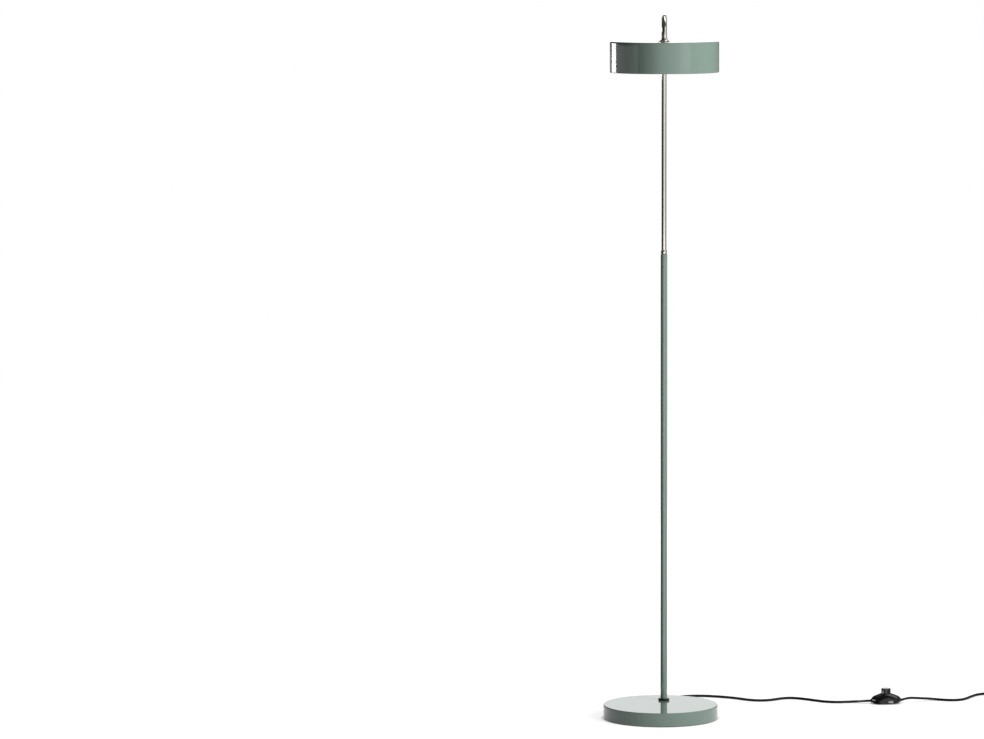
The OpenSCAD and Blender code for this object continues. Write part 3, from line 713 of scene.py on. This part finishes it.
# %% Gland with its ribbed boot
gland = place_of("cord_gland")
flange_r = 0.0056
boot_start = base.r + 0.0003
bore = cord_d / 2 + 0.0001
outline = [(bore, gland.front), (bore + 0.0003, gland.front), (flange_r - 0.0003, gland.front),
           (flange_r, gland.front + 0.0003), (flange_r, gland.front + 0.002),
           (0.0043, gland.front + 0.002), (0.0043, boot_start), (0.0052, boot_start),
           (0.0052, boot_start + 0.0026), (0.0047, boot_start + 0.003)]
ribs = 7
reach = gland.back - boot_start - 0.0045
for i in range(ribs):
    start = boot_start + 0.0036 + reach * i / ribs
    radius = 0.0043 + (0.0035 - 0.0043) * i / ribs
    outline += [(radius - 0.0007, start), (radius, start + 0.0004),
                (radius, start + reach / ribs - 0.0012),
                (radius - 0.0007, start + reach / ribs - 0.0008)]
outline += [(0.0033, gland.back - 0.0006), (0.0030, gland.back), (bore, gland.back)]
cord_boot = turned("cord_boot", outline, (stem.x, 0, 0.008), axis="Y", closed=True, steps=40)
fit_to(cord_boot, "lamp_stand", "black_plastic", "cord_gland")

# %% [markdown]
# ## The stem
# A plain tube could stay a cylinder, but its ends tell that it is a tube. A circle is
# extruded up, given its wall by Solidify, and its rims are rounded. A dark collar with a
# full round edge closes the joint with the base.

# %% Painted stem
def open_tube(name, circle_at, radius, height, wall, sides=64):
    nothing_selected()
    bpy.ops.mesh.primitive_circle_add(vertices=sides, radius=radius, location=circle_at)
    tube = newest(name)
    bpy.ops.object.transform_apply(location=True)
    edit_mode()
    bpy.ops.mesh.select_all(action="SELECT")
    bpy.ops.mesh.extrude_region_move(TRANSFORM_OT_translate={"value": (0, 0, height)})
    object_mode()
    return thicken(tube, wall)


def thicken(piece, wall):
    """Gives an open skin its wall, inwards. The lowest face tells which way is out."""
    face = min(piece.data.polygons, key=lambda f: f.center.z)
    ring = [piece.data.vertices[i].co for f in piece.data.polygons
            if abs(f.center.z - face.center.z) < 1e-5 for i in f.vertices]
    middle = sum(ring, Vector()) / len(ring)
    if face.normal.dot(face.center - middle) < 0:
        piece.data.flip_normals()
    shell = piece.modifiers.new("wall", "SOLIDIFY")
    shell.thickness, shell.offset = wall, -1
    apply_modifier(piece, shell)
    return piece


stem_wall = 0.0008
stem_skin = open_tube("painted_stem", (stem.x, stem.y, stem.low), stem.r,
                      stem.top - stem.low, stem_wall)
soften(stem_skin, 0.00022)
fit_to(stem_skin, "lamp_stand", "green_paint", "stem_tube")


# %% Rounded collar at the foot of the stem
foot = place_of("foot_collar")
half = (foot.top - foot.low) / 2
bore = stem.r + 0.0001
outline = ([(bore, 0), (foot.r - half, 0)] + arc(foot.r - half, half, half, -90, 90, 16)[1:]
           + [(bore, 2 * half)])
foot_ring = turned("foot_ring", outline, (foot.x, foot.y, foot.low), closed=True, steps=72)
fit_to(foot_ring, "lamp_stand", "dark_collar", "foot_collar")

# %% [markdown]
# The bead on top of the stem guides the arm. It stands on a long spigot inside the
# tube, and a fine line is turned above and below its belly.

# %% Polished bead
bead = place_of("stem_ferrule")
rod_r = 0.0051
belly = bead.r
line_at = stem.top
slide_gap = 0.00005
spigot = stem.r - stem_wall - slide_gap
height = bead.top - line_at
swell = [(belly - 0.001 + 0.001 * cos(radians(a)),
          line_at + height / 2 * (1 + sin(radians(a)) / sin(radians(80))))
         for a in range(-80, 81, 10)]
hole = rod_r + slide_gap
outline = ([(hole, bead.low), (spigot, bead.low), (spigot, line_at), (hole + 0.0002, line_at)]
           + [(swell[0][0] - 0.0004, line_at)] + swell
           + [(hole + 0.0007, bead.top), (hole, bead.top - 0.0003)])
stem_bead = turned("stem_bead", outline, (stem.x, stem.y, 0), closed=True, steps=72)
fit_to(stem_bead, "lamp_stand", "polished_nickel", "stem_ferrule")

# %% [markdown]
# Inside the stem the lead is coiled like a telephone cord, so that it can follow the
# arm up and down. A Screw modifier makes such a coil from one small circle.

# %% Coiled lead in the stem
def coil_spring(name, x, y, low, top, wire, out, turns, steps, sides):
    """A helix of round wire from low to top, out metres across on the outside."""
    nothing_selected()
    pitch = (top - low - 2 * wire) / turns
    bpy.ops.mesh.primitive_circle_add(
        vertices=sides, radius=wire, location=(out / 2 - wire, 0, 0), rotation=(pi / 2, 0, 0))
    coil_piece = newest(name)
    bpy.ops.object.transform_apply(location=True, rotation=True)
    screw = coil_piece.modifiers.new("screw", "SCREW")
    screw.axis, screw.angle, screw.screw_offset = "Z", 2 * pi, pitch
    screw.iterations, screw.steps, screw.render_steps = turns, steps, steps
    bpy.ops.object.modifier_apply(modifier=screw.name)
    bpy.ops.transform.translate(value=(x, y, low + wire))
    bpy.ops.object.transform_apply(location=True)
    return tidy_mesh(coil_piece, 80)


inner = place_of("stem_lead")
stem_coil = coil_spring("coiled_lead", inner.x, inner.y, inner.low, inner.top,
                        0.0013, 2 * inner.r, 150, 14, 8)
fit_to(stem_coil, None, "cord_black", "stem_lead")
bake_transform(stem_coil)

# %% [markdown]
# ## The arm
# The arm is one tube, bent twice. It could be a curve with a bevel, but bending it as a
# tube bender does gives clean rings: a circle is extruded up the leg, spun round the
# first bend, pushed forward, spun round the second and let down to the shade.

# %% Crook arm
rod = place_of("arm_tube")
bend = 0.034
axis_top = rod.top - rod_r
bend_z = axis_top - bend
nothing_selected()
bpy.ops.mesh.primitive_circle_add(vertices=48, radius=rod_r, location=(stem.x, stem.y, rod.low))
arm_skin = newest("crook_arm")
bpy.ops.object.transform_apply(location=True)
edit_mode()
bpy.ops.mesh.select_mode(type="VERT")
bpy.ops.mesh.select_all(action="SELECT")


def push(move):
    bpy.ops.mesh.extrude_region_move(TRANSFORM_OT_translate={"value": move})


def bend_round(y, z, angle):
    bpy.ops.mesh.spin(steps=20, angle=radians(angle), center=(stem.x, y, z), axis=(1, 0, 0))


push((0, 0, bend_z - rod.low - 0.01))
push((0, 0, 0.01))
bend_round(stem.y - bend, bend_z, -90)
push((0, -(stem.y - shade.y - 2 * bend), 0))
bend_round(shade.y + bend, bend_z, -90)
push((0, 0, shade.top - bend_z))
tidy_mesh(arm_skin, 60)
thicken(arm_skin, 0.001)
soften(arm_skin, 0.0002)
fit_to(arm_skin, "arm", "polished_nickel", "arm_tube")

# %% Flared collar on the shade
flare = place_of("shade_collar")
neck, bore, lip = rod_r + 0.0005, rod_r + 0.0001, 0.0009
height = flare.top - flare.low
bell = [(flare.r - (flare.r - neck) * sin(radians(a)),
         lip + (height - lip) * (1 - cos(radians(a)))) for a in range(0, 91, 9)]
outline = ([(bore, 0), (flare.r - 0.0003, 0)]
           + arc(flare.r - 0.0003, 0.0003, 0.0003, -90, 0, 3)[1:] + bell + [(bore, height)])
shade_ring = turned("shade_ring", outline, (flare.x, flare.y, flare.low), closed=True, steps=72)
fit_to(shade_ring, "arm", "polished_nickel", "shade_collar")

# %% [markdown]
# ## The shade
# The drum is spun from sheet in one go: a flat top, a tight rolled corner, a straight
# wall and a small bead along the mouth. Inside, it is lacquered white to throw the
# light down. So it is one piece with two finishes, and the inner faces are picked by
# where they point.

# %% Drum shade
skin = 0.001
roll = 0.0018
lip_r = 0.0013
outline = ([(0, shade.top), (shade.r - roll - flat_ring, shade.top)]
           + arc(shade.r - roll, shade.top - roll, roll, 90, 0, 7)
           + arc(shade.r - lip_r, shade.low + lip_r, lip_r, 0, -180, 12)
           + arc(shade.r - lip_r, shade.low + lip_r, lip_r, 150, 110, 3)
           + [(shade.r - skin, shade.low + 0.0032), (shade.r - skin, shade.top - roll - 0.0004)]
           + arc(shade.r - roll, shade.top - roll, roll - skin, 0, 90, 4)
           + [(shade.r - roll - flat_ring, shade.top - skin), (0, shade.top - skin)])
drum = turned("drum_shade", outline, (shade.x, shade.y, 0), steps=160)
drill(drum, (shade.x, shade.y, shade.top), 0.0042, 0.01)
drum.data.materials.append(finishes["green_paint"])


def inside_shade(centre, normal):
    out = Vector((centre.x - shade.x, centre.y - shade.y, 0))
    under = normal.z < -0.5 and centre.z > shade.top - 0.004
    inner = out.length < shade.r - 0.0007 and out.dot(normal) < 0 and centre.z > shade.low + 0.002
    return under or inner


repaint(drum, white_lining, inside_shade)
fit_to(drum, "arm", "green_paint", "shade_drum")

# %% [markdown]
# ## Inside the shade
# A strip of zinc-plated steel hangs from the nut and holds the lamp holder, and a disc
# lamp turns into it. The strip is a box whose ends are extruded down and out, as sheet
# is folded. The disc lamp has a shallow groove round its edge for the fingers.

# %% Folded bracket
hanger = place_of("lamp_bracket")
sheet = 0.0015
half_w = (hanger.back - hanger.front) / 2
leg = 0.016
nothing_selected()
bpy.ops.mesh.primitive_cube_add(
    size=1, location=(shade.x, shade.y, hanger.top - sheet / 2),
    scale=(2 * leg, 2 * half_w, sheet))
bracket = newest("folded_bracket")
bpy.ops.object.transform_apply(location=True, rotation=False, scale=True)
for side in (-1, 1):
    edge = shade.x + side * leg
    outwards = side * (hanger.right - edge if side > 0 else edge - hanger.left)
    down = ((0, 0, hanger.low - hanger.top + sheet), (edge - side * sheet, 0, 0), (1, 0, 0))
    out = ((outwards, 0, 0), (0, 0, hanger.low + sheet), (0, 0, 1))
    for fold in (down, out):
        move, cut_at, cut_facing = fold
        select_only(bracket)
        edit_mode()
        bpy.ops.mesh.select_mode(type="FACE")
        bpy.ops.mesh.select_all(action="SELECT")
        bpy.ops.mesh.bisect(plane_co=cut_at, plane_no=cut_facing)
        bpy.ops.mesh.select_all(action="DESELECT")
        object_mode()
        for face in bracket.data.polygons:
            c, n = face.center, face.normal
            strip = abs(c.x - edge) < sheet + 1e-5 and abs(c.x - shade.x) < leg + 1e-5
            if fold is down:
                face.select = n.z < -0.9 and strip and c.z > hanger.top - 2 * sheet
            else:
                face.select = n.x * side > 0.9 and strip and c.z < hanger.low + sheet
        edit_mode()
        push(move)
        object_mode()
for x in (-0.027, 0.027):
    drill(bracket, (shade.x + x, shade.y, hanger.low), 0.0021, 0.01, sides=24)
drill(bracket, (shade.x, shade.y, hanger.top), 0.0042, 0.006, sides=32)
soften(bracket, 0.00025)
fit_to(bracket, "arm", "zinc_steel", "lamp_bracket")

# %% Disc lamp
disc = place_of("lamp_body")
opal = place_of("lamp_opal")
pins_low = disc.low + 0.013
outline = [(0, disc.low), (disc.r - 0.0022, disc.low), (disc.r - 0.0016, disc.low + 0.0006),
           (disc.r - 0.0002, disc.low + 0.0006), (disc.r, disc.low + 0.0010),
           (disc.r, disc.low + 0.0030), (disc.r - 0.0009, disc.low + 0.0036),
           (disc.r - 0.0009, pins_low - 0.0036), (disc.r, pins_low - 0.0030),
           (disc.r, pins_low - 0.0004), (disc.r - 0.0004, pins_low),
           (0, pins_low)]
lamp_disc = turned("disc_lamp", outline, (disc.x, disc.y, 0), steps=120, smooth=30)
fit_to(lamp_disc, "arm", "white_plastic", "lamp_body")

for i, side in enumerate((-1, 1)):
    pin = turned(f"lamp_pin_{i + 1}",
                 [(0, pins_low - 0.001), (0.0018, pins_low - 0.001), (0.0018, disc.top - 0.0024),
                  (0.0012, disc.top - 0.0021), (0.0012, disc.top - 0.0016),
                  (0.0018, disc.top - 0.0013), (0.0018, disc.top - 0.0003),
                  (0.0015, disc.top), (0, disc.top)],
                 (disc.x, disc.y + side * 0.0265, 0), steps=24)
    fit_to(pin, "arm", "white_plastic", finish=finishes["brass"])

outline = ([(0, opal.top), (opal.r, opal.top), (opal.r, opal.low + 0.004)]
           + arc(opal.r - 0.004, opal.low + 0.004, 0.004, 0, -90, 8)
           + [(opal.r - 0.0062, opal.low), (0, opal.low)])
opal_front = turned("opal_front", outline, (opal.x, opal.y, 0), steps=96)
fit_to(opal_front, "arm", "opal", "lamp_opal")

# %% [markdown]
# ## The foot switch
# The switch is a smooth black pebble in two shells, with a round button in its top.
# Its form is the skin stretched over three domes: three turned domes are joined, the
# hull is taken, a voxel remesh evens the mesh out and Smooth takes away the ridges. A
# sphere could be pushed into this shape, but its poles would show in the gloss.

# %% Three domes and their hull
shell = place_of("switch_cover")
part_z = shell.low
crest = 0.0222
sw_r = 0.0205
spread = 0.0108
switch_mid = Vector((switch_at.x, switch_at.y, 0))


def dome(name, along, top):
    flat, tuck = 0.007, 0.010
    under = [(sw_r - tuck + tuck * cos(radians(a)), part_z * (1 - sin(radians(a))))
             for a in range(90, -1, -10)]
    over = [(flat + (sw_r - flat) * cos(radians(a)), part_z + (top - part_z) * sin(radians(a)))
            for a in range(9, 91, 9)]
    return turned(name, [(0, 0)] + under + over + [(0, top)], (along, 0, 0), steps=64)


domes = [dome("dome_left", -spread, 0.8 * crest), dome("dome_mid", 0, crest),
         dome("dome_right", spread, 0.8 * crest)]
nothing_selected()
for piece in domes:
    piece.select_set(True)
bpy.context.view_layer.objects.active = domes[0]
bpy.ops.object.join()
pebble = newest("switch_pebble")
edit_mode()
bpy.ops.mesh.select_all(action="SELECT")
bpy.ops.mesh.convex_hull()
object_mode()
even = pebble.modifiers.new("even", "REMESH")
even.mode, even.voxel_size, even.use_smooth_shade = "VOXEL", 0.0005, True
ease = pebble.modifiers.new("ease", "SMOOTH")
ease.factor, ease.iterations = 0.5, 8
bpy.ops.object.modifier_apply(modifier="even")
bpy.ops.object.modifier_apply(modifier="ease")
pebble.rotation_euler = (0, 0, switch_turn)
pebble.location = switch_mid
bpy.ops.object.transform_apply(location=True, rotation=True)
print("pebble", len(pebble.data.polygons), "faces")


# %% [markdown]
# The pebble is then parted along its widest line. Each half is cut by Bisect, given its
# wall by Solidify, and its rim is rounded, so a fine dark joint runs round the switch.

# %% Part the pebble in two shells
def half_shell(name, cut_z, keep_upper):
    select_only(pebble)
    bpy.ops.object.duplicate()
    half = newest(name)
    edit_mode()
    bpy.ops.mesh.select_all(action="SELECT")
    bpy.ops.mesh.bisect(plane_co=(0, 0, cut_z), plane_no=(0, 0, 1),
                        clear_inner=keep_upper, clear_outer=not keep_upper)
    object_mode()
    thicken(half, 0.0018)
    soften(half, 0.0002, angle=50)
    return half


def on_switch(x, y, z):
    return switch_mid + Vector((x * cos(switch_turn) - y * sin(switch_turn),
                                x * sin(switch_turn) + y * cos(switch_turn), z))


joint = 0.00012
top_shell = half_shell("switch_top", part_z + joint, True)
low_shell = half_shell("switch_foot", part_z - joint, False)
button = place_of("switch_button")
drill(top_shell, (switch_mid.x, switch_mid.y, crest), 0.01005, 0.02, sides=96)
bpy.data.objects.remove(pebble)
for side in (-1, 1):
    drill(low_shell, on_switch(side * 0.014, side * 0.011, 0), 0.0031, 0.005, sides=32)
fit_to(top_shell, "lamp_stand", "black_plastic", "switch_cover")
fit_to(low_shell, "lamp_stand", "black_plastic", "switch_base")

# %% [markdown]
# The button is turned: a low crown, a softly rounded shoulder and a straight skirt. A
# short collar holds the cord at each end of the switch.

# %% Button and the cord collars
btn_r = 0.00975
cord_bore = cord_d / 2 + 0.00005
low = button.low
outline = ([(0, button.top - 0.0002), (btn_r - 0.0035, button.top)]
           + arc(btn_r - 0.0013, button.top - 0.0013, 0.0013, 82, 0, 6)
           + [(btn_r, low + 0.0025), (0.01135, low + 0.0025), (0.01135, low), (0.0075, low),
              (0.0075, button.top - 0.003), (0, button.top - 0.003)])
press = turned("press_button", outline, (switch_mid.x, switch_mid.y, 0), steps=96)
fit_to(press, "foot_button", "black_plastic", "switch_button")

for i, side in enumerate((-1, 1)):
    end_at = on_switch(side * 0.0280, 0, switch_cord_z)
    sleeve = turned(f"cord_sleeve_{i + 1}",
                    [(cord_bore, 0), (0.0040, 0), (0.0040, 0.0038), (0.0036, 0.0044),
                     (cord_d / 2 + 0.0003, 0.0046), (cord_bore, 0.0044)],
                    (0, 0, 0), axis="X", closed=True, steps=36)
    sleeve.rotation_euler = (0, 0, switch_turn + (pi if side < 0 else 0))
    sleeve.location = end_at
    select_only(sleeve)
    bpy.ops.object.transform_apply(location=True, rotation=True)
    fit_to(sleeve, "lamp_stand", "black_plastic")

# %% Spring under the button
inner = place_of("switch_spring")
button_spring = coil_spring("button_spring", inner.x, inner.y, inner.low, inner.top,
                            0.0004, 2 * inner.r, 7, 32, 10)
fit_to(button_spring, None, "zinc_steel", "switch_spring")
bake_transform(button_spring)

# %% [markdown]
# ## The plug
# The plug ends the cord out of sight, beside the coil. Its body is a box drawn in at
# the cord's end, with grip ribs on its sides. The relief is ribbed as the boot on the
# base is, and each pin has a round tip and an insulated root.

# %% Plug body
plug = place_of("plug_body")
half_w, half_h = plug.r, (plug.top - plug.low) / 2
nothing_selected()
bpy.ops.mesh.primitive_cube_add(size=1, location=plug.mid,
                                scale=(2 * half_w, plug.back - plug.front, 2 * half_h))
plug_shell = newest("plug_shell")
bpy.ops.object.transform_apply(location=True, rotation=False, scale=True)
edit_mode()
for part in (0.18, 0.36, 0.42, 0.48, 0.54, 0.60, 0.66, 0.72, 0.78):
    bpy.ops.mesh.select_all(action="SELECT")
    bpy.ops.mesh.bisect(plane_co=(0, plug.front + part * (plug.back - plug.front), 0),
                        plane_no=(0, 1, 0))
object_mode()
length = plug.back - plug.front
for point in plug_shell.data.vertices:
    along = (point.co.y - plug.front) / length
    narrow = 1 - 0.40 * max(0.0, (along - 0.30) / 0.70) ** 1.6
    groove = 0.94 if any(abs(along - g) < 0.01 for g in (0.42, 0.54, 0.66, 0.78)) else 1.0
    point.co.x = plug.x + (point.co.x - plug.x) * narrow * groove
    flatten = 1 - 0.22 * max(0.0, (along - 0.45) / 0.55) ** 1.6
    point.co.z = plug.mid.z + (point.co.z - plug.mid.z) * flatten
soften(plug_shell, 0.0022, segments=4, angle=50)
fit_to(plug_shell, "lamp_stand", "black_plastic", "plug_body")

# %% Relief and pins
relief = place_of("plug_relief")
length = relief.back - relief.front
outline = [(cord_bore, 0), (0.0050, 0)]
for i in range(6):
    start = 0.0012 + (length - 0.003) * i / 6
    radius = 0.0049 - 0.0014 * i / 6
    outline += [(radius - 0.0007, start), (radius - 0.0001, start + 0.0005),
                (radius - 0.0002, start + 0.0022), (radius - 0.0008, start + 0.0026)]
outline += [(0.0034, length - 0.0006), (0.0031, length), (cord_bore, length)]
plug_sleeve = turned("plug_sleeve", outline, (relief.x, relief.front, relief.mid.z),
                     axis="Y", closed=True, steps=36)
fit_to(plug_sleeve, "lamp_stand", "black_plastic", "plug_relief")

pins = place_of("plug_pins")
for i, side in enumerate((-1, 1)):
    x = pins.x + side * 0.0093
    outline = [(0, pins.front)]
    outline += [(0.0020 * sin(radians(a)), pins.front + 0.0014 * (1 - cos(radians(a))))
                for a in (25, 45, 65, 90)]
    outline += [(0.0020, pins.front + 0.0085), (0.0018, pins.front + 0.0087),
                (0.0018, pins.back), (0, pins.back)]
    prong = turned(f"plug_pin_{i + 1}", outline, (x, 0, pins.mid.z), axis="Y", steps=32)
    prong.data.materials.append(finishes["polished_nickel"])
    repaint(prong, finishes["black_plastic"],
            lambda centre, normal: centre.y > pins.front + 0.0086)
    fit_to(prong, "lamp_stand", "polished_nickel", *(["plug_pins"] if i == 0 else []))

# %% [markdown]

print("cords drawn")

# %% [markdown]
# ## The end

# %% Clear the selection
nothing_selected()
